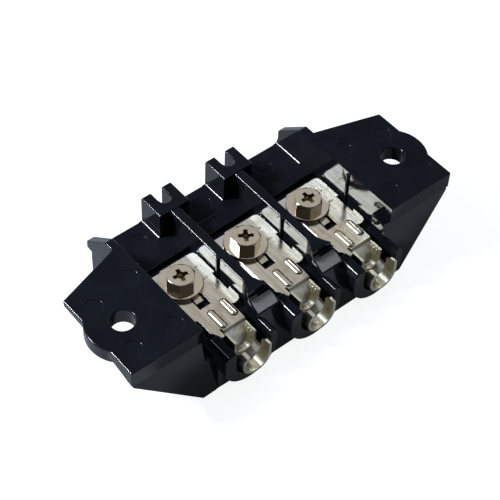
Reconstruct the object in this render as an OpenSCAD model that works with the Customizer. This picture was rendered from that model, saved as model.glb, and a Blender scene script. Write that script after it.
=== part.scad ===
// Three-pole dryer terminal block: a moulded housing with two fixing ears, and in each pocket
// a tapped base plate, a stamped crimp terminal, and a hex screw with a captive washer.
// Millimetres. X runs along the row of poles, Y from the outlet cups to the cord side, Z up.
// The origin lies midway between the two fixing holes, on the top face of the ears.

/* [Ears] */
// Distance between the two fixing holes
hole_spacing = 101.6; // [100:0.1:104]
// Diameter of a fixing hole
hole_d = 7.2; // [5:0.1:8]
// Thickness of the front edge of the ears and of the round bosses
ear_t = 5.8; // [5.4:0.1:6.4]
// Thickness of the ears at the bend of their underside
ear_mid_t = 3.6; // [3:0.1:4.2]
// Thickness of the back edge of the ears
ear_back_t = 1.9; // [1.6:0.1:2.6]
// From the hole line forward to the bend of the underside
ear_bend = 7.7; // [6:0.1:9]
// From a fixing hole to the straight end edge of its ear
ear_margin = 9; // [8:0.1:10]
// How far the round boss at each fixing hole stands out past the end edge
lobe_out = 2; // [1:0.1:2.5]
// Chamfer round the lower edge of a boss
boss_chamfer = 0.8; // [0.4:0.1:1]
// From the hole line to the front edge of the ears
ear_front = 16.2; // [15.8:0.1:16.8]
// From the hole line to the back corner of the ears
ear_back = 15.6; // [14:0.1:17]
// From the hole line to where the slanted back edge meets the body
ear_root = 22.1; // [20:0.1:24]
// Thickness of the leaning webs that carry the ears
web_t = 3; // [2:0.1:4]
// Height of the outer end of a web
web_toe = 1; // [0.5:0.1:2]
// How far the front web lies behind the front edge of its ear
web_inset = 0.4; // [0.2:0.1:0.8]

/* [Body] */
// Height from the base to the top of the ears
body_h = 25.8; // [25.4:0.1:28]
// Width over the end walls
body_w = 76.6; // [76.2:0.1:78]
// Thickness of an end wall
end_wall_t = 2.9; // [2.4:0.1:3.4]
// From the hole line to the front edge of the base
base_front = 20.3; // [19.5:0.1:21.2]
// From the hole line to the back of the body
base_back = 35.8; // [35:0.1:38]
// From the hole line to where the end prongs start to slope down
wall_back = 25.4; // [25:0.1:27]
// Depth of the back end of a prong's slope below the ears
prong_slope_drop = 8.1; // [6:0.1:9]
// How far the end prongs reach below the shelf
prong_under = 0.6; // [0.3:0.1:1]
// Chamfer at the lower back corner of a prong
prong_chamfer = 1; // [0.6:0.1:1.6]
// How far the shelf runs on under the end prongs
prong_lap = 1.4; // [1:0.1:1.8]
// Radius of the hollow fillets where the forks and the prongs stand on the shelf
foot_r = 1.3; // [0.8:0.1:1.5]
// How far the shelf and the end prongs stop short of the back of the forks
back_gap = 0.6; // [0.3:0.1:1.2]
// Thickness of the pocket floors and of the walls round the hollow underside
shell_t = 3; // [2.4:0.1:3.4]

/* [Cord shelf] */
// Depth of the back shelf below the ears
shelf_drop = 13.3; // [12.8:0.1:14]
// Height of the raised front strip of the shelf
shelf_step = 1.4; // [0.8:0.1:2]
// From the hole line to the step in the shelf
step_y = 23; // [21:0.1:24]
// From the hole line to the front face of the shelf
shelf_y = 17.4; // [16.6:0.1:18.4]

/* [Barriers] */
// Extra width of the two end pockets
end_room = 0.445; // [0.3:0.005:0.6]
// Thickness of a barrier wall
barrier_t = 3.2; // [2.6:0.1:3.6]
// Depth of the barrier tops below the ears
barrier_drop = 4.3; // [3.8:0.1:4.8]
// From the hole line to where the barriers start to widen toward the front
block_y = 6.5; // [5:0.1:8]
// Width of a pocket's mouth between the barrier blocks
mouth_w = 15.47; // [15:0.01:16]
// From the hole line to the top edge of the sloped block face
slope_top_y = 12.8; // [12.4:0.1:13.4]
// Depth of that top edge below the ears
slope_top_drop = 6.7; // [6.3:0.1:7.2]
// Depth of the lower edge of the sloped block face below the ears
slope_low_drop = 9.2; // [8.6:0.1:9.8]
// Width of a fork
fork_w = 11; // [10:0.1:12]
// Width of the slot between the prongs of a fork
fork_slot = 3.94; // [3:0.02:5]
// From the hole line to the front of a fork
fork_y = 26.5; // [25.5:0.1:27.5]
// From the back of the body to the round end of a fork slot
fork_slot_depth = 6.3; // [5:0.1:7]
// Height of the forks above the barrier tops
fork_rise = 0.2; // [0.1:0.1:0.6]
// Radius of the upright rib on the right wall of a pocket
rib_r = 0.7; // [0.5:0.05:0.8]
// From the hole line to that rib
rib_y = 4.1; // [3.6:0.1:4.5]
// From the hole line to the rib on the end wall
end_rib_y = 2.8; // [2.4:0.1:3.4]

/* [Outlet cups] */
// From the hole line to the front of the cups
cup_front = 22.7; // [22.2:0.1:23.2]
// Outside radius of a cup
cup_r = 9.4; // [9.2:0.1:9.5]
// Offset of a cup from the middle of its pocket
cup_x = 1.5; // [1.3:0.1:1.6]
// Inside radius of a cup
cup_bore_r = 6.2; // [6:0.1:6.4]
// Offset of the inside of a cup from the middle of its pocket
cup_bore_x = 2.3; // [2.2:0.1:2.4]
// Thickness of a cup's floor
cup_floor_t = 2.9; // [2.6:0.1:3]
// Depth of the cup walls below the ears
cup_drop = 10.6; // [10.2:0.1:11.2]
// Chamfer on the upper outside edges of a cup
cup_chamfer = 1.3; // [0.8:0.1:1.6]
// From the hole line to the back of the inside of a cup
cup_bore_y = 11; // [10.5:0.1:11.5]
// Thickness of the upright rib on the left side of the first cup
side_rib_t = 0.9; // [0.5:0.1:1.2]

/* [Terminals] */
// Depth of the upper face of the crimp terminals below the ears
metal_drop = 11.4; // [11.2:0.1:11.6]
// Sheet thickness of a crimp terminal
sheet_t = 0.8; // [0.7:0.05:0.9]
// Thickness of a base plate
plate_t = 1.2; // [1:0.1:1.4]
// From the hole line to the back edge of the sheet metal
plate_back = 14.9; // [14.4:0.1:15.4]
// From the hole line to the front edge of a base plate
plate_front = 6.2; // [5.6:0.1:6.8]
// Clearance between a base plate and the left wall of its pocket
plate_room = 3.485; // [3:0.005:3.7]
// Clearance between the sheet metal and the right wall of its pocket
plate_gap = 0.485; // [0.4:0.005:0.7]
// Depth of the notch in the right edge
notch_d = 1; // [0.9:0.1:1.3]
// Offset of the crimp barrels from the middle of the pocket
barrel_x = 2.5; // [2.4:0.1:2.6]
// Outside radius of the conductor barrel
core_r = 4; // [3.7:0.1:4.1]
// Height of the inside floor of the conductor barrel above the bottom of the insulation barrel
core_rise = 4.1; // [3.9:0.1:4.4]
// From the hole line to the front of the conductor barrel
core_end = 18.7; // [18.4:0.1:19]
// Outside radius of the insulation barrel
grip_r = 5.1; // [4.9:0.1:5.2]
// Clearance between the insulation barrel and the floor of its cup
barrel_gap = 0.5; // [0.3:0.1:0.8]
// From the hole line to the back of the insulation barrel
grip_start = 20.4; // [20.2:0.1:20.8]
// From the hole line to the front of the insulation barrel
grip_end = 24.2; // [23.8:0.1:24.8]
// Depth of the top of the tall barrel wing below the ears
wing_drop = 13.3; // [12.8:0.1:13.6]

/* [Screws] */
// Offset of the screws from the middle of the pocket
screw_x = -0.7; // [-0.8:0.1:-0.4]
// From the hole line to the row of screws
screw_y = 7.2; // [7:0.1:7.5]
// Width across the flats of the hex head
hex_af = 8; // [7:0.1:8.4]
// Height of the hex head
hex_h = 3; // [2.6:0.1:3.4]
// Thread diameter
thread_d = 4.8; // [4.2:0.1:5]
// Length under the head
screw_len = 9.5; // [9:0.1:10]
// Outside diameter of the captive washer
washer_d = 13.5; // [12.5:0.1:13.8]
// Thickness of the captive washer
washer_t = 1.4; // [1.1:0.1:1.6]
// Length of the cross recess
recess_l = 4.6; // [4:0.1:5]
// How far round each screw came to rest, in degrees
screw_turn = [-12, -34, -2]; // [-60:1:60]
// Radial clearance between the thread and its tapped hole
thread_gap = 0.05; // [0.03:0.01:0.08]
// Radial clearance between the thread and the washer or crimp terminal
shank_gap = 0.25; // [0.2:0.05:0.3]

/* [Hidden] */
$fn = 64;
eps = 0.01;
POLES = [-1, 0, 1];
BARRIERS = [-0.5, 0.5];
hole_x = hole_spacing / 2;
ear_end = hole_x + ear_margin;
lobe_r = ear_margin + lobe_out;
wall_out = body_w / 2;
wall_in = wall_out - end_wall_t;
pitch = (wall_in - end_room + barrier_t / 2) / (len(POLES) / 2);
pocket_half = (pitch - barrier_t) / 2;
block_half = (pitch - mouth_w) / 2;
plate_left = pocket_half - plate_room;
plate_right = pocket_half - plate_gap;
floor_drop = metal_drop + sheet_t + plate_t;
front_lean = (base_front - ear_front + web_inset) / (body_h - ear_t);
shelf_back = base_back - back_gap;
prong_root = step_y + 0.6;
prong_drop = shelf_drop + prong_under;
prong_bevel = 1.3;
prong_bevel_h = 3.4;
back_half = wall_in + prong_lap;
cell_end = shell_t + 0.5;
cell_half = wall_in - cell_end;
end_rib_drop = 0.8;
cell_front = cup_bore_y - shell_t;
cell_h = body_h - floor_drop - shell_t;
cup_z = cup_r - body_h;
cup_bore_z = cup_bore_r + cup_floor_t - body_h;
ledge_h = (slope_top_drop - barrier_drop) / 2;
ledge_d = 0.6;
ledge_lean = 0.3;
end_block_w = 2.5;
end_block_y = 10.8;
end_block_nose = 15.3;
end_block_fall = 1.3;
mark_r = 2.75;
mark_depth = 0.2;
ear_mark_x = hole_x + 3.6;
ear_mark_y = [8.6, -9.5];
root_mark_x = wall_out + mark_r - 0.6;
root_mark_y = [11.1, -9.8];
shelf_mark_x = 0.5;
shelf_mark_y = 29.2;
thread_r = thread_d / 2;
collar_r = thread_r + 1.1;
collar_len = 2.6;
collar_room = 0.4;
notch_front = -2.5;
notch_back = rib_y + rib_r + 0.15;
grip_bottom = body_h - cup_floor_t - barrel_gap;
core_floor = grip_bottom - core_rise;
core_z = core_r - sheet_t - core_floor;
core_start = 12.4;
core_wing_drop = metal_drop + sheet_t;
grip_z = grip_r - grip_bottom;
grip_curl_drop = wing_drop + 0.6;
flat_left = 5.9;
lug_left = 2.4;
lug_y = 11.4;
corner = 1.4;
corner_mid = 0.4;
notch_slope = 0.8;
shoulder = 1.6;
shoulder_mid = 0.5;
shoulder_y = 7.6;
inner_corner = 0.65;
tongue_in = 0.6;
tongue_w = 1.1;
tongue_l = 2.6;
tongue_tip = 0.25;
step_left = 5;
step_slope = 0.35;
window = [4, 5.6];
window_at = [-2, -3.5];
window_gap = 0.1;
tab_w = 2.7;
tab_l = 3.2;
tab_sink = 0.6;
scoop_start = 13.2;
scoop_l = 3.6;
scoop_fall = core_floor - metal_drop;
scoop_steps = 12;
serration_y = [14.9, 16.1, 17.3];
serration_w = 0.3;
serration_h = 0.2;
serration_drop = 1;
bead_1 = [-0.2, -11.9, -6.4];
bead_2 = [5.1, -10.2, -5.3];
stop_y = 2.5;
stop_in = 0.2;
stop_size = [1.6, 0.3, 0.25];
neck_rim = 2.2;
neck_lap = 0.2;
wing_clip = 1.2;
bead_r = 1.7;
bead_rise = 0.55;
hex_r = hex_af / 2 / cos(30);
head_z = washer_t - metal_drop;
recess_w = 1.3;
recess_d = 1.9;
tip_chamfer = 0.6;
rim_chamfer = 0.2;
rim_in = 0.15;
recess_rise = 0.5;

// The Y of the leaning front face at a depth below the ears
function front_at(drop) = -(ear_front - web_inset + (drop - ear_t) * front_lean);

// Half width of a barrier block at a share t of its flare, an S curve from wall to front
function flare_at(t) = barrier_t / 2 + (block_half - barrier_t / 2) * (3 * t * t - 2 * t * t * t);

// Extrudes an outline drawn in Y and Z along X, between two X values
module along_x(x0, x1) {
    translate([x0, 0, 0])
        rotate([90, 0, 90])
            linear_extrude(x1 - x0) children();
}

// Extrudes an outline drawn in X and Z along Y, between two Y values
module along_y(y0, y1) {
    translate([0, y1, 0])
        rotate([90, 0, 0])
            linear_extrude(y1 - y0) children();
}

// Section of the body across X: leaning front, pocket floor, stepped shelf and flat base
module body_section() {
    polygon([
        [-base_front, -body_h],
        [shelf_back, -body_h],
        [shelf_back, -shelf_drop],
        [step_y, -shelf_drop],
        [step_y, shelf_step - shelf_drop],
        [shelf_y, shelf_step - shelf_drop],
        [shelf_y, -floor_drop],
        [front_at(floor_drop), -floor_drop]
    ]);
}

// The full-width front of the body, and the narrower back that the end prongs stand on
module body() {
    along_x(-back_half, back_half) body_section();
    along_x(-wall_out, wall_out) intersection() {
        body_section();
        translate([-base_front, -body_h]) square([base_front + prong_root, body_h]);
    }
}

// An end wall, level with the ears
module end_wall() {
    along_x(wall_in, wall_out)
        polygon([
            [-base_front, -body_h],
            [prong_root, -body_h],
            [prong_root, 0],
            [-ear_front, 0],
            [-ear_front, -ear_t],
            [front_at(ear_t), -ear_t]
        ]);
}

// The block that narrows the mouth of the last pocket, at the front of the right end wall
module end_block() {
    along_x(wall_in - end_block_w, wall_in + eps)
        polygon([
            [-end_block_y, -floor_drop - eps],
            [-end_block_y, -barrier_drop],
            [-end_block_nose, -barrier_drop - end_block_fall],
            [front_at(ear_t), -ear_t],
            [front_at(floor_drop), -floor_drop - eps]
        ]);
}

// The prong that carries an end wall on past the shelf, sloping down, with a narrowed underside
module prong() {
    intersection() {
        along_x(wall_in, wall_out)
            polygon([
                [prong_root - eps, -prong_drop],
                [prong_root - eps, 0],
                [wall_back, 0],
                [shelf_back, -prong_slope_drop],
                [shelf_back, prong_chamfer - prong_drop],
                [shelf_back - prong_chamfer, -prong_drop]
            ]);
        along_y(prong_root - 1, shelf_back)
            polygon([
                [wall_in, 0],
                [wall_out, 0],
                [wall_out, prong_bevel_h - prong_drop],
                [wall_out - prong_bevel, -prong_drop],
                [wall_in, -prong_drop]
            ]);
    }
}

// Hollow fillet along the foot of an upright face that lies at X = 0, facing left
module foot_fillet(y0, y1) {
    arc = [for (a = [270 : 10 : 360]) foot_r * [cos(a) - 1, sin(a) + 1]];
    translate([0, 0, -shelf_drop])
        along_y(y0, y1)
            polygon(concat([[eps, -eps], [-foot_r, -eps]], arc, [[eps, foot_r]]));
}

// Section of a barrier block: flat top, a small ledge, then the long sloped face
module block_section() {
    polygon([
        [-base_front, -body_h],
        [-block_y, -body_h],
        [-block_y, -barrier_drop],
        [-slope_top_y + ledge_d + 2 * ledge_lean, -barrier_drop],
        [-slope_top_y + ledge_d + ledge_lean, -barrier_drop - ledge_h],
        [-slope_top_y + ledge_lean, -barrier_drop - ledge_h],
        [-slope_top_y, -slope_top_drop],
        [front_at(slope_low_drop), -slope_low_drop]
    ]);
}

// Plan of a barrier block, widening from the wall toward the front
module block_plan() {
    flare_end = slope_top_y + 2;
    steps = 10;
    side = [for (i = [0 : steps]) [flare_at(i / steps), -block_y - (flare_end - block_y) * i / steps]];
    front = [[block_half, -base_front], [-block_half, -base_front]];
    other = [for (i = [steps : -1 : 0]) [-side[i][0], side[i][1]]];
    polygon(concat(side, front, other));
}

// Thin barrier wall with its front block and its slotted fork
module barrier() {
    wall_top = body_h - barrier_drop;
    translate([-barrier_t / 2, -block_y - 1, -body_h])
        cube([barrier_t, fork_y + block_y + 2, wall_top]);
    intersection() {
        along_x(-block_half, block_half) block_section();
        translate([0, 0, -body_h]) linear_extrude(body_h) block_plan();
    }
    for (side = [0, 1]) mirror([side, 0, 0])
        translate([-fork_w / 2, 0, 0]) foot_fillet(fork_y, shelf_back);
    fork_end = base_back - fork_slot_depth + fork_slot / 2;
    difference() {
        translate([-fork_w / 2, fork_y, -body_h])
            cube([fork_w, base_back - fork_y, wall_top + fork_rise]);
        translate([0, 0, -shelf_drop]) {
            translate([-fork_slot / 2, fork_end, 0])
                cube([fork_slot, base_back, body_h]);
            translate([0, fork_end, 0]) cylinder(h = body_h, d = fork_slot);
        }
    }
}

// One ear, thinning toward the back, with the round boss of its fixing hole
module ear() {
    intersection() {
        translate([0, 0, -ear_t]) linear_extrude(ear_t)
            polygon([
                [wall_in, -ear_front],
                [ear_end, -ear_front],
                [ear_end, ear_back],
                [wall_out, ear_root],
                [wall_in, ear_root]
            ]);
        along_x(wall_in, ear_end)
            polygon([
                [-ear_front, 0],
                [ear_root, 0],
                [ear_root, -ear_back_t],
                [ear_back, -ear_back_t],
                [-ear_bend, -ear_mid_t],
                [-ear_front, -ear_t]
            ]);
    }
    translate([hole_x, 0, 0]) rotate_extrude()
        polygon([
            [0, 0],
            [lobe_r, 0],
            [lobe_r, boss_chamfer - ear_t],
            [lobe_r - boss_chamfer, -ear_t],
            [0, -ear_t]
        ]);
}

// Leaning front web under an ear, running out toward the end of the ear
module ear_web() {
    web_end = ear_end - web_inset;
    intersection() {
        along_x(wall_out - eps, web_end)
            polygon([
                [front_at(ear_t), -ear_mid_t],
                [front_at(ear_t), -ear_t],
                [-base_front, -body_h],
                [web_t - base_front, -body_h],
                [front_at(ear_t) + web_t, -ear_t],
                [front_at(ear_t) + web_t, -ear_mid_t]
            ]);
        along_y(-base_front, 0)
            polygon([
                [wall_out - eps, 0],
                [web_end, 0],
                [web_end, -ear_t - web_toe],
                [wall_out - eps, -body_h]
            ]);
    }
}

// Outside of a cup: round bottom, upright walls and chamfered upper edges
module cup_outline() {
    translate([cup_x, cup_z]) circle(cup_r);
    low = cup_z;
    high = -cup_drop;
    polygon([
        [cup_x - cup_r, low],
        [cup_x + cup_r, low],
        [cup_x + cup_r, high - cup_chamfer],
        [cup_x + cup_r - cup_chamfer, high],
        [cup_x - cup_r + cup_chamfer, high],
        [cup_x - cup_r, high - cup_chamfer]
    ]);
}

// Inside of a cup, open at the top and the front
module cup_bore() {
    along_y(-cup_front - 1, -cup_bore_y) {
        translate([cup_bore_x, cup_bore_z]) circle(cup_bore_r);
        translate([cup_bore_x - cup_bore_r, cup_bore_z]) square([2 * cup_bore_r, -cup_bore_z]);
    }
}

// Cup outside, cut off above its walls and trimmed to the front of the body
module cup() {
    intersection() {
        along_y(-cup_front, -slope_top_y - 1) cup_outline();
        translate([-pitch, -cup_front, -body_h]) cube([2 * pitch, cup_front, body_h - cup_drop]);
    }
}

// Upright rib on the left side of the first cup, flush with the front edge of the base
module side_rib() {
    translate([cup_x - cup_r - side_rib_t, -base_front, -body_h])
        cube([2 * side_rib_t, base_front - slope_top_y - 1, body_h - cup_drop - cup_chamfer]);
}

// Everything moulded, before the holes and hollows
module housing_solid() {
    body();
    for (side = [0, 1]) mirror([side, 0, 0]) {
        end_wall();
        prong();
        translate([wall_in, 0, 0]) foot_fillet(step_y, shelf_back);
        ear();
        ear_web();
    }
    end_block();
    for (b = BARRIERS) translate([b * pitch, 0, 0]) barrier();
    for (p = POLES) translate([p * pitch, 0, 0]) {
        cup();
    }
    translate([POLES[0] * pitch, 0, 0]) side_rib();
    // Upright ribs on the right walls, the last one on the end wall
    for (b = BARRIERS) translate([b * pitch - barrier_t / 2, rib_y, -floor_drop])
        cylinder(h = floor_drop - barrier_drop, r = rib_r);
    translate([wall_in, end_rib_y, -floor_drop]) cylinder(h = floor_drop - end_rib_drop, r = rib_r);
}

// Shallow round marks left by the ejector pins
module ejector_marks() {
    for (side = [-1, 1], y = ear_mark_y)
        translate([side * ear_mark_x, y, -mark_depth]) cylinder(h = 1, r = mark_r);
    for (side = [-1, 1], y = root_mark_y)
        translate([side * root_mark_x, y, -mark_depth]) cylinder(h = 1, r = mark_r);
    for (p = POLES)
        translate([p * pitch + shelf_mark_x, shelf_mark_y, -shelf_drop - mark_depth])
            cylinder(h = 1, r = mark_r);
}

module housing() {
    color([0.1, 0.11, 0.13]) difference() {
        housing_solid();
        for (side = [-1, 1])
            translate([side * hole_x, 0, -body_h]) cylinder(h = 2 * body_h, d = hole_d);
        ejector_marks();
        for (p = POLES) translate([p * pitch, 0, 0]) {
            cup_bore();
            translate([screw_x, screw_y, -body_h]) cylinder(h = body_h, r = collar_r + collar_room);
        }
        // Hollow underside, one cell below each pocket
        for (p = POLES) {
            left = max(p * pitch - pocket_half, -cell_half);
            right = min(p * pitch + pocket_half, cell_half);
            translate([left, -cell_front, -body_h - 1])
                cube([right - left, shelf_back - shell_t + cell_front, cell_h + 1]);
        }
    }
}

// Plan of a base plate, notched on the right to clear the rib, with a window for the tab
module plate_plan() {
    difference() {
        translate([-plate_left, -plate_front])
            square([plate_left + plate_right, plate_front + plate_back]);
        translate([plate_right - notch_d, notch_front])
            square([2 * notch_d, notch_back - notch_front]);
        translate([window_at[0] - window_gap, window_at[1] - window_gap])
            square([window[0] + 2 * window_gap, window[1] + 2 * window_gap]);
    }
}

module base_plate(p) {
    color([0.82, 0.82, 0.8]) translate([p * pitch, 0, -floor_drop]) difference() {
        union() {
            linear_extrude(plate_t) plate_plan();
            translate([screw_x, screw_y, -collar_len]) cylinder(h = collar_len + eps, r = collar_r);
        }
        translate([screw_x, screw_y, -collar_len - 1])
            cylinder(h = collar_len + plate_t + 2, r = thread_r + thread_gap);
    }
}

// Plan of the flat of a crimp terminal, with its lug, notch, window and stepped left edge
module terminal_plan() {
    barrel_left = barrel_x - core_r - tongue_in;
    barrel_right = barrel_x + core_r;
    difference() {
        polygon([
            [-flat_left, lug_y],
            [-lug_left, plate_back],
            [plate_right - corner, plate_back],
            [plate_right - corner_mid, plate_back - corner_mid],
            [plate_right, plate_back - corner],
            [plate_right, notch_back],
            [plate_right - notch_d, notch_back],
            [plate_right - notch_d, notch_front],
            [plate_right, notch_front + notch_slope],
            [plate_right, shoulder - shoulder_y],
            [plate_right - shoulder_mid, shoulder_mid - shoulder_y],
            [plate_right - shoulder, -shoulder_y],
            [barrel_right + inner_corner, -shoulder_y],
            [barrel_right, inner_corner - shoulder_y],
            [barrel_right, -core_start],
            [barrel_left, -core_start],
            [barrel_left, -core_start - tongue_l],
            [barrel_left - tongue_w, -core_start - tongue_l - tongue_tip],
            [-step_left + tongue_in, -core_start - tongue_tip],
            [-step_left, -core_start + tongue_tip],
            [-step_left, -plate_front - step_slope],
            [-flat_left, -plate_front + step_slope]
        ]);
        translate(window_at) square(window);
        translate([screw_x, screw_y]) circle(thread_r + shank_gap);
    }
}

// One embossed rib along the terminal, a low round bar with round ends
module bead(x, y0, y1) {
    intersection() {
        translate([x, 0, bead_rise - bead_r]) {
            translate([0, y1, 0]) rotate([90, 0, 0]) cylinder(h = y1 - y0, r = bead_r);
            for (y = [y0, y1]) translate([0, y, 0]) sphere(bead_r);
        }
        translate([x - bead_r, y0 - bead_r, -sheet_t / 2])
            cube([2 * bead_r, y1 - y0 + 2 * bead_r, 2 * bead_r]);
    }
}

// Lower part of a barrel section under a rim height, filled in
module barrel_disc(r, z, rim) {
    intersection() {
        translate([barrel_x, z]) circle(r);
        translate([barrel_x - r, z - r]) square([2 * r, rim - z + r]);
    }
}

// Section of the conductor barrel's channel at a radius, filled up to a rim height
module core_channel(r, rim) {
    translate([barrel_x, core_z]) circle(r);
    translate([barrel_x - r, core_z]) square([2 * r, rim - core_z]);
}

// Open channel of the conductor barrel, serrated inside, with the scoop from the flat to its floor
module core_barrel() {
    inner = core_r - sheet_t;
    along_y(-core_end, -core_start) difference() {
        core_channel(core_r, -core_wing_drop);
        core_channel(inner, 0);
    }
    for (y = serration_y) along_y(-y, serration_w - y) difference() {
        core_channel(inner + sheet_t / 4, -core_wing_drop - serration_drop);
        core_channel(inner - serration_h, 0);
    }
    intersection() {
        along_x(barrel_x - core_r, barrel_x + core_r) scoop_section();
        along_y(-core_end, -core_start + sheet_t) core_channel(core_r, 0);
    }
}

// Section of the scoop, an S curve from the flat down to the floor of the conductor barrel
module scoop_section() {
    upper = [for (i = [0 : scoop_steps]) scoop_at(i / scoop_steps)];
    lower = [for (i = [scoop_steps : -1 : 0]) scoop_at(i / scoop_steps) - [0, scoop_t(i / scoop_steps)]];
    root = [[eps - core_start, -metal_drop - sheet_t], [eps - core_start, -metal_drop]];
    polygon(concat(upper, lower, root));
}

// A point of that curve at a share t of its length, and its upright thickness there
function scoop_at(t) = [-scoop_start - scoop_l * t, -metal_drop - scoop_fall * (1 - cos(180 * t)) / 2];
function scoop_t(t) = sheet_t * (1 + sin(180 * t));

// Funnel that joins the two barrels
module neck() {
    difference() {
        neck_body(0, 0);
        neck_body(sheet_t, eps);
    }
}

module neck_body(inset, over) {
    hull() {
        along_y(-core_end - neck_lap / 2 - eps, -core_end + neck_lap + over)
            barrel_disc(core_r - inset, core_z, core_z - neck_rim / 2 + over);
        along_y(-grip_start - neck_lap - over, -grip_start - eps)
            barrel_disc(grip_r - inset, grip_z, grip_z - neck_rim / 2 + over);
    }
}

// Open channel of the insulation barrel: one wing upright, the other curled inward
module grip_barrel() {
    inner = grip_r - sheet_t;
    difference() {
        along_y(-grip_end, -grip_start) difference() {
            union() {
                barrel_disc(grip_r, grip_z, -grip_curl_drop);
                translate([barrel_x, grip_z]) square([grip_r, -wing_drop - grip_z]);
            }
            translate([barrel_x, grip_z]) circle(inner);
            translate([barrel_x, grip_z]) square([inner, grip_r * 2]);
            translate([barrel_x, grip_z - 1]) mirror([1, 0]) square([inner / 4, grip_r * 2]);
        }
        translate([barrel_x, -grip_start, -wing_drop])
            rotate([45, 0, 0])
                cube([4 * grip_r, 2 * wing_clip, 2 * wing_clip], center = true);
    }
}

// Tab lanced out of the window, bent down into the window of the base plate
module lanced_tab() {
    left = window_at[0] + (window[0] - tab_w) / 2;
    root = window_at[1] + window[1];
    along_x(left, left + tab_w)
        polygon([
            [root + eps, -metal_drop],
            [root + eps, -metal_drop - sheet_t],
            [root - tab_l, -metal_drop - sheet_t - tab_sink],
            [root - tab_l, -metal_drop - tab_sink]
        ]);
}

module crimp_terminal(p) {
    color([0.86, 0.84, 0.79]) translate([p * pitch, 0, 0]) {
        translate([0, 0, -metal_drop - sheet_t]) linear_extrude(sheet_t) terminal_plan();
        translate([0, 0, -metal_drop]) {
            bead(bead_1[0], bead_1[1], bead_1[2]);
            bead(bead_2[0], bead_2[1], bead_2[2]);
            for (y = [-stop_y, stop_y])
                translate([screw_x + washer_d / 2 - stop_in, screw_y + y, -eps]) cube(stop_size);
        }
        lanced_tab();
        core_barrel();
        neck();
        grip_barrel();
    }
}

module captive_washer(p) {
    r = washer_d / 2;
    color([0.8, 0.79, 0.76]) translate([p * pitch + screw_x, screw_y, -metal_drop])
        rotate_extrude() polygon([
            [thread_r + shank_gap, 0],
            [r - rim_chamfer, 0],
            [r, rim_chamfer],
            [r, washer_t - rim_chamfer],
            [r - rim_chamfer, washer_t],
            [thread_r + shank_gap, washer_t]
        ]);
}

// Profile that rounds off the corners of the hex head
module head_profile() {
    rim = hex_af / 2 - rim_in;
    polygon([
        [0, -eps],
        [hex_r, -eps],
        [hex_r, hex_h - (hex_r - rim) * tan(30)],
        [rim, hex_h],
        [0, hex_h]
    ]);
}

module terminal_screw(p) {
    color([0.84, 0.82, 0.78]) translate([p * pitch + screw_x, screw_y, head_z])
    rotate([0, 0, screw_turn[p + 1]]) {
        difference() {
            intersection() {
                cylinder(h = hex_h, r = hex_r, $fn = 6);
                rotate_extrude() head_profile();
            }
            translate([0, 0, hex_h - recess_d]) {
                for (turn = [0, 90])
                    rotate([0, 0, turn])
                        translate([-recess_l / 2, -recess_w / 2, recess_rise])
                            cube([recess_l, recess_w, hex_h]);
                cylinder(h = recess_d + eps, r1 = recess_w / 2, r2 = recess_w);
            }
        }
        rotate_extrude() polygon([
            [0, eps],
            [thread_r, eps],
            [thread_r, tip_chamfer - screw_len],
            [thread_r - tip_chamfer, -screw_len],
            [0, -screw_len]
        ]);
    }
}

housing();
base_plate(-1);  // base_plate_1
base_plate(0);  // base_plate_2
base_plate(1);  // base_plate_3
crimp_terminal(-1);  // crimp_terminal_1
crimp_terminal(0);  // crimp_terminal_2
crimp_terminal(1);  // crimp_terminal_3
captive_washer(-1);  // captive_washer_1
captive_washer(0);  // captive_washer_2
captive_washer(1);  // captive_washer_3
terminal_screw(-1);  // terminal_screw_1
terminal_screw(0);  // terminal_screw_2
terminal_screw(1);  // terminal_screw_3
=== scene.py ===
# %% [markdown]
# # Dryer terminal block
# A moulded block joins a dryer's cord to its inner leads: three screws clamp the cord, and three
# open crimp terminals take the leads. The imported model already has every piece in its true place,
# in metres, so this lesson only dresses it: softened edges, finishes, light and a camera. The
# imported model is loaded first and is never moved.

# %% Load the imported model
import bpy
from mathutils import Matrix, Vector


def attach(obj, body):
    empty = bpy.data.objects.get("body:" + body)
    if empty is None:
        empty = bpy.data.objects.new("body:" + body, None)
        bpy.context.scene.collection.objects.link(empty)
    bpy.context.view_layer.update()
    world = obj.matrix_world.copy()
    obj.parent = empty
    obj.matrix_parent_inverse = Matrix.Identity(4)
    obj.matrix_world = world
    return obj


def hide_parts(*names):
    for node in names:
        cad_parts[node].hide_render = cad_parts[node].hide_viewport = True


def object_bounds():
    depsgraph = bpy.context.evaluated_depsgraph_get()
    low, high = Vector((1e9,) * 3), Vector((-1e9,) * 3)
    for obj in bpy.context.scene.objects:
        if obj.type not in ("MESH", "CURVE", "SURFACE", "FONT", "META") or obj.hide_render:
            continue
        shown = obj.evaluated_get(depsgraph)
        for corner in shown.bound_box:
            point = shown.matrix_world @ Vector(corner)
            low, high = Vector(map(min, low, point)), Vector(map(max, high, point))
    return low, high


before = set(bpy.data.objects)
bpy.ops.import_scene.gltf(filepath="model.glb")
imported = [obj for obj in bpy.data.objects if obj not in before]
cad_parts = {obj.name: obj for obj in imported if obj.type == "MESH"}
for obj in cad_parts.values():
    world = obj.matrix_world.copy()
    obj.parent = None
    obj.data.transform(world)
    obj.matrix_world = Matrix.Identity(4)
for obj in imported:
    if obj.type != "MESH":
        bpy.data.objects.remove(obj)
cad_box = [list(corner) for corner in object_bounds()]

import math

import bmesh
import bpy
from mathutils import Matrix, Vector

MM = 0.001
POLES = (1, 2, 3)
print("nodes:", len(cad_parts), "box:", cad_box)

# %% [markdown]
# ## Camera
# The block is seen from above its left front corner, with a long lens and a slight roll. A camera
# could be aimed with a Track To constraint, but then the roll and the off-centre view are hard to
# set. Here its axes are built from two angles and a roll, so each of them can be read and changed.

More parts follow.
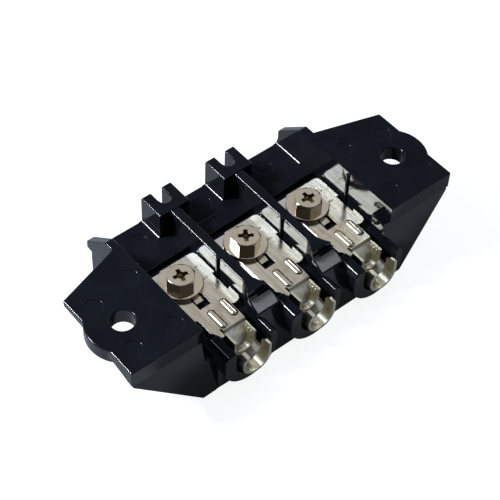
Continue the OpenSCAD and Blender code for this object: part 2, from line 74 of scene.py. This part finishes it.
# %% Camera
AZIMUTH = math.radians(41.832)
ELEVATION = math.radians(49.955)
ROLL = math.radians(2.878)
AIM_OFFSET = (-4.162 * MM, -4.797 * MM, 426.186 * MM)
LENS_MM = 106.25
SENSOR_MM = 36.0

toward_camera = Vector((
    -math.sin(AZIMUTH) * math.cos(ELEVATION),
    -math.cos(AZIMUTH) * math.cos(ELEVATION),
    math.sin(ELEVATION),
))
level_right = Vector((math.cos(AZIMUTH), -math.sin(AZIMUTH), 0.0))
level_up = toward_camera.cross(level_right)
right = math.cos(ROLL) * level_right + math.sin(ROLL) * level_up
up = math.cos(ROLL) * level_up - math.sin(ROLL) * level_right
place = AIM_OFFSET[0] * right + AIM_OFFSET[1] * up + AIM_OFFSET[2] * toward_camera

bpy.ops.object.camera_add()
camera = bpy.context.object
camera.name = "photo_camera"
turn = Matrix((right, up, toward_camera)).transposed()
camera.matrix_world = Matrix.Translation(place) @ turn.to_4x4()
camera.data.lens = LENS_MM
camera.data.sensor_width = SENSOR_MM
camera.data.sensor_fit = "HORIZONTAL"
bpy.context.scene.camera = camera
print("camera at", [round(v, 4) for v in place])

# %% [markdown]
# ## Floor
# The block stands on a plain white floor. More light would make a grey floor white too, but it
# would wash out the block. So the floor glows by itself: white to the camera, and faintly to the
# gloss and glass that mirror it. The Light Path node tells these rays apart, and the bluish paint
# under the glow still takes the block's soft shadow.

# %% Floor
FLOOR_SIZE = 6.0

bpy.ops.mesh.primitive_plane_add(size=FLOOR_SIZE, location=(0, 0, cad_box[0][2]))
floor = bpy.context.object
floor.name = "studio_floor"
print("floor at", round(floor.location.z, 4))

# %% Floor finish
FLOOR_PAINT = (0.33, 0.37, 0.44, 1)
FLOOR_GLOW = {"Is Camera Ray": 0.90, "Is Glossy Ray": 0.10, "Is Transmission Ray": 0.10}

floor_finish = bpy.data.materials.new("studio_white")
floor_finish.use_nodes = True
tree = floor_finish.node_tree
tree.nodes.clear()
light_path = tree.nodes.new("ShaderNodeLightPath")
strength = None
for ray_kind, level in FLOOR_GLOW.items():
    share = tree.nodes.new("ShaderNodeMath")
    share.operation = "MULTIPLY_ADD"
    share.inputs[1].default_value = level
    share.inputs[2].default_value = 0.0
    tree.links.new(light_path.outputs[ray_kind], share.inputs[0])
    if strength:
        tree.links.new(strength, share.inputs[2])
    strength = share.outputs[0]

paint = tree.nodes.new("ShaderNodeBsdfDiffuse")
paint.inputs["Color"].default_value = FLOOR_PAINT
glow = tree.nodes.new("ShaderNodeEmission")
tree.links.new(strength, glow.inputs["Strength"])
both = tree.nodes.new("ShaderNodeAddShader")
tree.links.new(paint.outputs[0], both.inputs[0])
tree.links.new(glow.outputs[0], both.inputs[1])
output = tree.nodes.new("ShaderNodeOutputMaterial")
tree.links.new(both.outputs[0], output.inputs["Surface"])
floor.data.materials.append(floor_finish)
print("floor glows for:", list(FLOOR_GLOW))

# %% [markdown]
# ## Lamps
# A cool soft box stands behind the left end. It is small, so that its mirror image is a narrow line
# on each bead of the terminals. A short strip lamp, lower on the same side, draws the thin bright
# lines along the moulding's rounded edges. One large lamp could do both, but its mirror image would
# spread over the beads.

# %% Lamps
def soft_box(name, direction, distance, size, power, colour):
    """Adds an area lamp, in metres and watts, that faces the block from a direction."""
    spot = Vector(direction).normalized() * distance
    bpy.ops.object.light_add(type="AREA", location=spot)
    lamp = bpy.context.object
    lamp.name = name
    lamp.data.shape = "RECTANGLE"
    lamp.data.size, lamp.data.size_y = size
    lamp.data.energy = power
    lamp.data.color = colour
    lamp.rotation_euler = spot.to_track_quat("Z", "Y").to_euler()
    return lamp

soft_box(
    "back_left_box", direction=(-0.43, 0.49, 0.76), distance=0.62,
    size=(0.17, 0.17), power=0.80, colour=(0.79, 0.90, 1.0),
)
edge_strip = soft_box(
    "edge_strip", direction=(-0.62, 0.48, 0.63), distance=0.70,
    size=(0.16, 0.06), power=5.0, colour=(1.0, 1.0, 1.0),
)

# %% [markdown]
# ## Sky
# The sky is brighter behind the block than in front of it, so flat metal, which mirrors the far
# side, shines, and the sides that face the camera stay dark. An image of a studio would do the
# same, but a ramp along the view direction needs no file and has only two levels to set.

# %% Sky
SKY_TINT = (0.95, 0.97, 1.0, 1)
FRONT_LEVEL, BACK_LEVEL = 0.03, 0.47
FADE_START, FADE_END = -0.4, 0.6

world = bpy.context.scene.world or bpy.data.worlds.new("studio")
bpy.context.scene.world = world
world.use_nodes = True
tree = world.node_tree
sky = tree.nodes["Background"]
sky.inputs["Color"].default_value = SKY_TINT
ray = tree.nodes.new("ShaderNodeTexCoord")
toward_back = tree.nodes.new("ShaderNodeVectorMath")
toward_back.operation = "DOT_PRODUCT"
toward_back.inputs[1].default_value = (math.sin(AZIMUTH), math.cos(AZIMUTH), 0.0)
tree.links.new(ray.outputs["Generated"], toward_back.inputs[0])
fade = tree.nodes.new("ShaderNodeMapRange")
fade.inputs["From Min"].default_value = FADE_START
fade.inputs["From Max"].default_value = FADE_END
fade.inputs["To Min"].default_value = FRONT_LEVEL
fade.inputs["To Max"].default_value = BACK_LEVEL
tree.links.new(toward_back.outputs["Value"], fade.inputs["Value"])
tree.links.new(fade.outputs["Result"], sky.inputs["Strength"])
bpy.context.scene.view_settings.view_transform = "Standard"
print("sky from", FRONT_LEVEL, "in front to", BACK_LEVEL, "behind")

# %% [markdown]
# ## Finishes
# Moulded plastic is never quite one gloss, and plated sheet shows rolling lines and faint stains.
# Painted image maps could hold such marks, but noise patterns need no files and no unwrapping.
# They read Object coordinates, which are metres in the block's own frame, so a noise scale of 1000
# gives marks of about a millimetre on every piece. A few small helpers keep each finish short.

# %% Finish helpers: patterns
def new_finish(name):
    """Makes a material with a principled shader and Object coordinates."""
    finish = bpy.data.materials.new(name)
    finish.use_nodes = True
    nodes = finish.node_tree.nodes
    coords = nodes.new("ShaderNodeTexCoord")
    print("finish:", name)
    return finish, finish.node_tree, nodes["Principled BSDF"], coords.outputs["Object"]


def noise(tree, coords, scale, stretch=(1.0, 1.0, 1.0), detail=3.0):
    """Adds a noise pattern and returns its output, from 0 to 1."""
    mapping = tree.nodes.new("ShaderNodeMapping")
    mapping.inputs["Scale"].default_value = stretch
    tree.links.new(coords, mapping.inputs["Vector"])
    pattern = tree.nodes.new("ShaderNodeTexNoise")
    pattern.inputs["Scale"].default_value = scale
    pattern.inputs["Detail"].default_value = detail
    tree.links.new(mapping.outputs["Vector"], pattern.inputs["Vector"])
    return pattern.outputs["Fac"]


def relief(tree, shader, pattern, strength, depth_mm):
    """Lets a pattern press into the surface."""
    bump = tree.nodes.new("ShaderNodeBump")
    bump.inputs["Strength"].default_value = strength
    bump.inputs["Distance"].default_value = depth_mm * MM
    tree.links.new(pattern, bump.inputs["Height"])
    tree.links.new(bump.outputs["Normal"], shader.inputs["Normal"])

# %% [markdown]
# ### From a pattern to values and colours
# A noise pattern is only a number from 0 to 1. Map Range turns it into a roughness, and a Color
# Ramp turns it into a colour. A chain of Math nodes could do both, but these two nodes show their
# limits and stops at a glance.

# %% Finish helpers: values and colours
def spread(tree, value, low, high, start=0.3, stop=0.7):
    """Maps a value between start and stop to a range from low to high."""
    span = tree.nodes.new("ShaderNodeMapRange")
    span.inputs["From Min"].default_value = start
    span.inputs["From Max"].default_value = stop
    span.inputs["To Min"].default_value = low
    span.inputs["To Max"].default_value = high
    tree.links.new(value, span.inputs["Value"])
    return span.outputs["Result"]


def ramp(tree, value, stops):
    """Blends colours along a value, given as pairs of a place and a colour."""
    first, last = stops[0][0], stops[-1][0]
    blend = tree.nodes.new("ShaderNodeValToRGB")
    while len(blend.color_ramp.elements) < len(stops):
        blend.color_ramp.elements.new(0.5)
    for element, (place, colour) in zip(blend.color_ramp.elements, stops):
        element.position = (place - first) / (last - first)
        element.color = (*colour, 1)
    share = spread(tree, value, low=0.0, high=1.0, start=first, stop=last)
    tree.links.new(share, blend.inputs["Fac"])
    return blend.outputs["Color"]


def two_tone(tree, pattern, dark, light, start=0.3, stop=0.7):
    """Blends two colours by a pattern."""
    return ramp(tree, pattern, [(start, dark), (stop, light)])


def even(level):
    """The grey colour of one level, for a ramp that drives a plain value."""
    return (level, level, level)

# %% [markdown]
# ### Black moulding
# The housing is one bluish black moulding. Its sides and rounded edges mirror the metal beside them
# like a polished face, while its flat tops look more satin. Two materials would show a seam on each
# rounded edge. So one material reads the surface normal: where it points up, the roughness rises
# and the mirror fades.

# %% Black moulding
POLISHED_UP_TO, SATIN_FROM = 0.92, 0.995
TOP_SATIN = 0.17

moulding, tree, shader, coords = new_finish("black_moulding")
cloud = noise(tree, coords, scale=90.0, detail=4.0)
tone = two_tone(tree, cloud, dark=(0.0050, 0.0066, 0.0100), light=(0.0086, 0.0109, 0.0160))
tree.links.new(tone, shader.inputs["Base Color"])

haze = noise(tree, coords, scale=420.0, detail=5.0)
gloss = spread(tree, haze, low=0.06, high=0.12)
facing = tree.nodes.new("ShaderNodeNewGeometry")
upright = tree.nodes.new("ShaderNodeSeparateXYZ")
tree.links.new(facing.outputs["Normal"], upright.inputs["Vector"])
satin = spread(
    tree, upright.outputs["Z"], low=0.0, high=TOP_SATIN, start=POLISHED_UP_TO, stop=SATIN_FROM,
)
roughness = tree.nodes.new("ShaderNodeMath")
roughness.operation = "ADD"
tree.links.new(gloss, roughness.inputs[0])
tree.links.new(satin, roughness.inputs[1])
tree.links.new(roughness.outputs[0], shader.inputs["Roughness"])

# %% Black moulding: mirror and waviness
SIDE_MIRROR, TOP_MIRROR = 0.5, 0.04
PLASTIC_IOR = 1.49

mirror = ramp(tree, upright.outputs["Z"], [
    (0.0, even(SIDE_MIRROR)), (POLISHED_UP_TO, even(SIDE_MIRROR)),
    (SATIN_FROM, even(TOP_MIRROR)), (1.0, even(TOP_MIRROR)),
])
tree.links.new(mirror, shader.inputs["Specular IOR Level"])
shader.inputs["IOR"].default_value = PLASTIC_IOR
waviness = noise(tree, coords, scale=160.0, detail=2.0)
relief(tree, shader, waviness, strength=0.06, depth_mm=0.02)
print("mirror from", SIDE_MIRROR, "on the sides to", TOP_MIRROR, "on the tops")

# %% [markdown]
# ### Matte face
# The sloped faces of the barrier blocks are grey and matte beside the gloss, as if the mould had
# been left unpolished there. A plain grey would do from far away, but close up a matte face has a
# grain. One fine noise drives colour, roughness and relief together, so that the three agree.

# %% Matte face
matte_face, tree, shader, coords = new_finish("matte_mould_face")
grain = noise(tree, coords, scale=2600.0, detail=4.0)
tone = two_tone(tree, grain, dark=(0.25, 0.243, 0.259), light=(0.42, 0.41, 0.43))
tree.links.new(tone, shader.inputs["Base Color"])
tree.links.new(spread(tree, grain, low=0.42, high=0.58), shader.inputs["Roughness"])
relief(tree, shader, grain, strength=0.35, depth_mm=0.03)

# %% [markdown]
# ### Bright plate and nickel
# The base plates look bright plated. The screws and washers are browner, like nickel. Two separate
# node trees would work, but both finishes have the same make-up, so one function builds them:
# patches in the colour, fine lines in the roughness and a soft waviness in the surface. The plates'
# lines run along Y, like the marks of rolling; the pattern on the screws has no direction.

# %% Bright plate and nickel
def plated(name, dark, light, rough, stretch, wave_scale):
    """Makes a bright plated metal with fine lines and a soft waviness."""
    finish, tree, shader, coords = new_finish(name)
    shader.inputs["Metallic"].default_value = 1.0
    patches = noise(tree, coords, scale=260.0, detail=4.0)
    tree.links.new(two_tone(tree, patches, dark, light), shader.inputs["Base Color"])
    rolled = noise(tree, coords, scale=900.0, stretch=stretch, detail=3.0)
    tree.links.new(spread(tree, rolled, *rough), shader.inputs["Roughness"])
    wave = noise(tree, coords, scale=wave_scale, detail=2.0)
    relief(tree, shader, wave, strength=0.05, depth_mm=0.05)
    return finish

base_plating = plated(
    "bright_plate", dark=(0.82, 0.79, 0.74), light=(0.92, 0.90, 0.86),
    rough=(0.12, 0.18), stretch=(1, 0.1, 1), wave_scale=120.0,
)
nickel_plating = plated(
    "nickel", dark=(0.78, 0.67, 0.52), light=(0.90, 0.80, 0.66),
    rough=(0.05, 0.10), stretch=(1, 1, 1), wave_scale=220.0,
)

# %% [markdown]
# ### Tin on the crimp terminals
# The tin looks smoothest on the flat under the screw and duller on the barrels, where the sheet was
# curled. Each terminal could be cut into zones with a material each, but the change is gradual. So
# ramps along Y, from the barrels at the front to the back of the flat, carry the tone and the
# roughness. Faint brown stains and rolling lines lie over them.

# %% Tin helpers
def ramp_along_y(tree, coords, stops):
    """Blends colours along Y, given as pairs of a place in millimetres and a colour."""
    axes = tree.nodes.new("ShaderNodeSeparateXYZ")
    tree.links.new(coords, axes.inputs["Vector"])
    return ramp(tree, axes.outputs["Y"], [(place * MM, colour) for place, colour in stops])


def multiplied(tree, first, second):
    """Multiplies two colours."""
    product = tree.nodes.new("ShaderNodeVectorMath")
    product.operation = "MULTIPLY"
    tree.links.new(first, product.inputs[0])
    tree.links.new(second, product.inputs[1])
    return product.outputs["Vector"]

# %% Tin on the crimp terminals
BARREL_ROUGHNESS, FLAT_ROUGHNESS = 0.34, 0.20
CLEAN = even(1.0)

tin_plating, tree, shader, coords = new_finish("worked_tin")
shader.inputs["Metallic"].default_value = 1.0
tone = ramp_along_y(tree, coords, [
    (-20.0, (0.99, 0.95, 0.80)), (-14.5, (0.98, 0.94, 0.79)), (-12.0, (0.90, 0.84, 0.70)),
    (-6.5, (0.95, 0.86, 0.72)), (0.0, (1.0, 0.93, 0.79)), (14.0, (1.0, 0.95, 0.86)),
])
blotches = noise(tree, coords, scale=300.0, detail=5.0)
stains = two_tone(tree, blotches, (0.86, 0.80, 0.70), CLEAN, start=0.28, stop=0.46)
rolled = noise(tree, coords, scale=900.0, stretch=(1, 0.12, 1), detail=3.0)
lines = two_tone(tree, rolled, (0.80, 0.78, 0.75), CLEAN, start=0.36, stop=0.60)
stained = multiplied(tree, tone, stains)
tree.links.new(multiplied(tree, stained, lines), shader.inputs["Base Color"])
roughness = ramp_along_y(tree, coords, [
    (-20.0, even(BARREL_ROUGHNESS)), (-14.0, even(BARREL_ROUGHNESS)),
    (-12.0, even(FLAT_ROUGHNESS)), (14.0, even(FLAT_ROUGHNESS)),
])
tree.links.new(roughness, shader.inputs["Roughness"])
relief(tree, shader, rolled, strength=0.10, depth_mm=0.02)

# %% [markdown]
# ### Driver recess
# The cross recess of each screw is painted dark brown: painted shade that stands in for the shade
# inside it. A dark tone by height would do it too, but it would also darken the shank below. So the
# recess gets a material of its own, dark and rough, for the faces that are picked out further on.

# %% Driver recess: painted shade
recess_shade_finish, tree, shader, coords = new_finish("painted_recess_shade")
shader.inputs["Metallic"].default_value = 0.9
recess_shade_grain = noise(tree, coords, scale=1500.0, detail=4.0)
# These browns are painted shade, standing in for the shade inside the recess.
tone = two_tone(tree, recess_shade_grain, dark=(0.16, 0.115, 0.065), light=(0.42, 0.33, 0.21))
tree.links.new(tone, shader.inputs["Base Color"])
tree.links.new(spread(tree, recess_shade_grain, low=0.3, high=0.45), shader.inputs["Roughness"])

# %% [markdown]
# ## Softened edges
# Real mouldings and stampings have small edge radii, and these catch the light. A Bevel modifier
# could take every sharp edge by angle, but a radius that is wider than the face beside it folds
# over. So each edge is measured first: an edge with room on both sides gets the full radius, the
# rim of a shallow mark gets a small one, and the rest stays sharp.

# %% Edge softening: which edges
SHARP = math.radians(28.0)
STRAIGHT_ON = -0.9
NOTHING_NEAR = 1.0
OVERHANG = 0.1
TOUCHING = 1e-6

def is_sharp(edge):
    """True for an outer corner that a real moulding or stamping would have rounded."""
    return edge.is_convex and edge.calc_face_angle() > SHARP


def edge_room(edge):
    """Smallest distance from an edge into its two faces before another corner is met."""
    length = edge.calc_length()
    room = NOTHING_NEAR
    for loop in edge.link_loops:
        start = loop.vert.co
        along = (loop.link_loop_next.vert.co - start) / length
        inward = loop.face.normal.cross(along)
        for vert in loop.face.verts:
            offset = vert.co - start
            depth = offset.dot(inward)
            beside = -OVERHANG * length <= offset.dot(along) <= (1 + OVERHANG) * length
            if beside and depth > TOUCHING:
                room = min(room, depth)
    return room


def runs_on(edge):
    """True where a sharp edge carries on past one end with hardly a turn, as along a curve."""
    for vert in edge.verts:
        along = (edge.other_vert(vert).co - vert.co).normalized()
        for other in vert.link_edges:
            onward = (other.other_vert(vert).co - vert.co).normalized()
            if other is not edge and is_sharp(other) and along.dot(onward) < STRAIGHT_ON:
                return True
    return False

print("sharp means above", round(math.degrees(SHARP)), "degrees")

# %% [markdown]
# ### Bevel weights
# A bevel weight says how much of the modifier's width an edge takes, so one modifier serves full
# and small radii. At the end of a long edge the bevel fits itself to its neighbours and can twist.
# A corner added a short way in from each end keeps that twist away from the rest of the edge.

# %% Edge softening: bevel weights, with lengths as multiples of the radius
ROOM_NEEDED = 2.5
SHORTEST_ON_CURVE = 0.9
END_LENGTH = 1.5
ENDS_IN_LONG_EDGE = 4
SHARE_OF_STEP = 0.8

def weigh_edges(mesh, radius_mm, step_mm):
    """Writes bevel weights into a mesh and returns the number of edges to round."""
    shape = bmesh.new()
    shape.from_mesh(mesh)
    weight = shape.edges.layers.float.new("bevel_weight_edge")
    rounded = 0
    for edge in filter(is_sharp, shape.edges):
        room = edge_room(edge) / MM
        length = edge.calc_length() / MM
        on_curve = length > SHORTEST_ON_CURVE * radius_mm and runs_on(edge)
        long_enough = length > ROOM_NEEDED * radius_mm or on_curve
        if room > ROOM_NEEDED * radius_mm and long_enough:
            edge[weight] = 1.0
        elif room < step_mm and runs_on(edge):
            edge[weight] = SHARE_OF_STEP * room / radius_mm
        rounded += edge[weight] > 0
    end = END_LENGTH * radius_mm * MM
    long_edge = ENDS_IN_LONG_EDGE * end
    for edge in [e for e in shape.edges if e[weight] > 0 and e.calc_length() > long_edge]:
        for vert in tuple(edge.verts):
            bmesh.utils.edge_split(edge, vert, end / edge.calc_length())
    shape.to_mesh(mesh)
    shape.free()
    return rounded

# %% [markdown]
# ### A clean copy of a CAD node
# Each piece starts as a copy of its CAD node. It could be drawn again by hand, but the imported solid
# already has the true shape and place. The copy's loose triangles are merged and its flat faces
# joined, so that each edge is one edge again.

# %% Edge softening: a clean copy
MERGE_GAP = 2e-6
FLAT_ANGLE = math.radians(0.6)

def clean_copy(node, piece_name, finish):
    """Copies a CAD node, with its triangles joined to whole faces, and makes the copy active."""
    piece = bpy.data.objects.new(piece_name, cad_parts[node].data.copy())
    bpy.context.scene.collection.objects.link(piece)
    bpy.ops.object.select_all(action="DESELECT")
    piece.select_set(True)
    bpy.context.view_layer.objects.active = piece
    piece.data.materials.clear()
    piece.data.materials.append(finish)
    bpy.ops.mesh.customdata_custom_splitnormals_clear()
    bpy.ops.object.mode_set(mode="EDIT")
    bpy.ops.mesh.select_all(action="SELECT")
    bpy.ops.mesh.remove_doubles(threshold=MERGE_GAP)
    bpy.ops.mesh.dissolve_limited(angle_limit=FLAT_ANGLE)
    bpy.ops.mesh.normals_make_consistent(inside=False)
    bpy.ops.object.mode_set(mode="OBJECT")
    return piece

# %% [markdown]
# ### The rounded piece
# A Bevel modifier rounds the weighted edges. It could stay live, but a finished piece is easier to
# check as a plain mesh, so it is applied. Weighted normals let the large flat faces lead: they stay
# flat to the eye, and only the radius bends the light.

# %% Edge softening: the rounded piece
SMOOTH_ANGLE = math.radians(35.0)
BEVEL_STEPS = 3

def soften(node, piece_name, radius_mm, body, finish, step_mm=0.0):
    """Copies a CAD node, rounds its sharp edges and puts the copy in its place."""
    piece = clean_copy(node, piece_name, finish)
    rounded = weigh_edges(piece.data, radius_mm, step_mm)
    bevel = piece.modifiers.new("edge_radius", "BEVEL")
    bevel.limit_method = "WEIGHT"
    bevel.width = radius_mm * MM
    bevel.segments = BEVEL_STEPS
    bevel.use_clamp_overlap = False
    bevel.loop_slide = True
    bpy.ops.object.modifier_apply(modifier=bevel.name)
    bpy.ops.object.shade_smooth_by_angle(angle=SMOOTH_ANGLE)
    flat = piece.modifiers.new("flat_faces_lead", "WEIGHTED_NORMAL")
    flat.keep_sharp = True
    bpy.ops.object.modifier_apply(modifier=flat.name)
    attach(piece, body)
    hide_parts(node)
    print(piece_name, "edges rounded:", rounded, "faces:", len(piece.data.polygons))
    return piece

# %% [markdown]
# ## Housing
# The housing is one moulding: body, barriers, forks, cups and ears. Its edges have the largest
# radius on the block, and the shallow ejector marks on its tops a small one. The matte sloped faces
# could be picked by hand in Edit Mode. Here they are found by direction and height, which still
# works when the mesh changes.

# %% Housing
HOUSING_RADIUS_MM = 0.40
MARK_STEP_MM = 0.25
MATTE_NORMAL = Vector((0, -0.55, 0.83)).normalized()
SAME_DIRECTION = 0.995
MATTE_LOW, MATTE_HIGH = -9.6 * MM, -6.3 * MM

housing = soften(
    "housing", "housing_moulding", HOUSING_RADIUS_MM, "block", moulding,
    step_mm=MARK_STEP_MM,
)
housing.data.materials.append(matte_face)
matte_count = 0
for face in housing.data.polygons:
    sloped = face.normal.dot(MATTE_NORMAL) > SAME_DIRECTION
    if sloped and MATTE_LOW < face.center.z < MATTE_HIGH:
        face.material_index = 1
        matte_count += 1
print("matte faces:", matte_count)

# %% [markdown]
# ### What the edge strip lights
# The strip is bright enough to draw a line on black plastic, and the beads burnt out under it. A
# dimmer strip would lose the lines. Light linking solves this: the strip lights only what is in its
# collection, the housing and the floor.

# %% What the edge strip lights
strip_lit = bpy.data.collections.new("lit_by_edge_strip")
strip_lit.objects.link(housing)
strip_lit.objects.link(floor)
edge_strip.light_linking.receiver_collection = strip_lit

# %% [markdown]
# ## Base plates
# A plated plate lies on the floor of each pocket, with a tapped collar under it. It could be an
# outline given thickness by a Solidify modifier, but the CAD copy has the collar and the window for
# the terminal's tab as well. Stamping leaves small radii, here about a tenth of a millimetre.

# %% Base plates
SHEET_RADIUS_MM = 0.12

for pole in POLES:
    soften(
        f"base_plate_{pole}", f"tapped_plate_{pole}", SHEET_RADIUS_MM,
        "block", base_plating,
    )

# %% [markdown]
# ## Crimp terminals
# Each terminal is one stamping: a flat with two beads, a conductor barrel, a funnel neck and an
# insulation barrel. It could be folded up from a flat sheet with modifiers, but its CAD solid has
# all of these forms, so only the edges are softened, by the same radius as the plate's.

# %% Crimp terminals
for pole in POLES:
    soften(
        f"crimp_terminal_{pole}", f"open_crimp_{pole}", SHEET_RADIUS_MM,
        "block", tin_plating,
    )

# %% [markdown]
# ## Captive washers
# A round washer stays under each screw head and rises with it, so it rides on a body of its own. It
# could be a cylinder with a hole cut by a Boolean, but the CAD copy already fits its screw.

# %% Captive washers
WASHER_RADIUS_MM = 0.10

for pole in POLES:
    soften(
        f"captive_washer_{pole}", f"round_washer_{pole}", WASHER_RADIUS_MM,
        f"washer_{pole}", nickel_plating,
    )

# %% [markdown]
# ## Terminal screws
# The screws have a hex head with a cross recess, and each came to rest at its own angle. The recess
# faces could be picked by hand for each screw. Measuring from the screw's own axis and head instead
# lets the same lines serve all three, whatever their angle.

# %% Terminal screws: the recess
RECESS_REACH = 2.4 * MM
RECESS_LIP = 0.12 * MM
RECESS_DEPTH = 2.0 * MM

def paint_recess_shade(screw):
    """Gives the faces of a screw's driver recess the dark finish of painted shade and returns their
    number.
    """
    screw.data.materials.append(recess_shade_finish)
    corners = [vert.co for vert in screw.data.vertices]
    axis_x = (min(c.x for c in corners) + max(c.x for c in corners)) / 2
    axis_y = (min(c.y for c in corners) + max(c.y for c in corners)) / 2
    head_top = max(c.z for c in corners)
    shaded_faces = 0
    for face in screw.data.polygons:
        reach = math.hypot(face.center.x - axis_x, face.center.y - axis_y)
        depth = head_top - face.center.z
        if reach < RECESS_REACH and RECESS_LIP < depth < RECESS_DEPTH:
            face.material_index = 1
            shaded_faces += 1
    return shaded_faces

# %% Terminal screws
SCREW_RADIUS_MM = 0.08

for pole in POLES:
    screw = soften(
        f"terminal_screw_{pole}", f"hex_screw_{pole}", SCREW_RADIUS_MM,
        f"screw_{pole}", nickel_plating,
    )
    print("recess faces:", paint_recess_shade(screw))
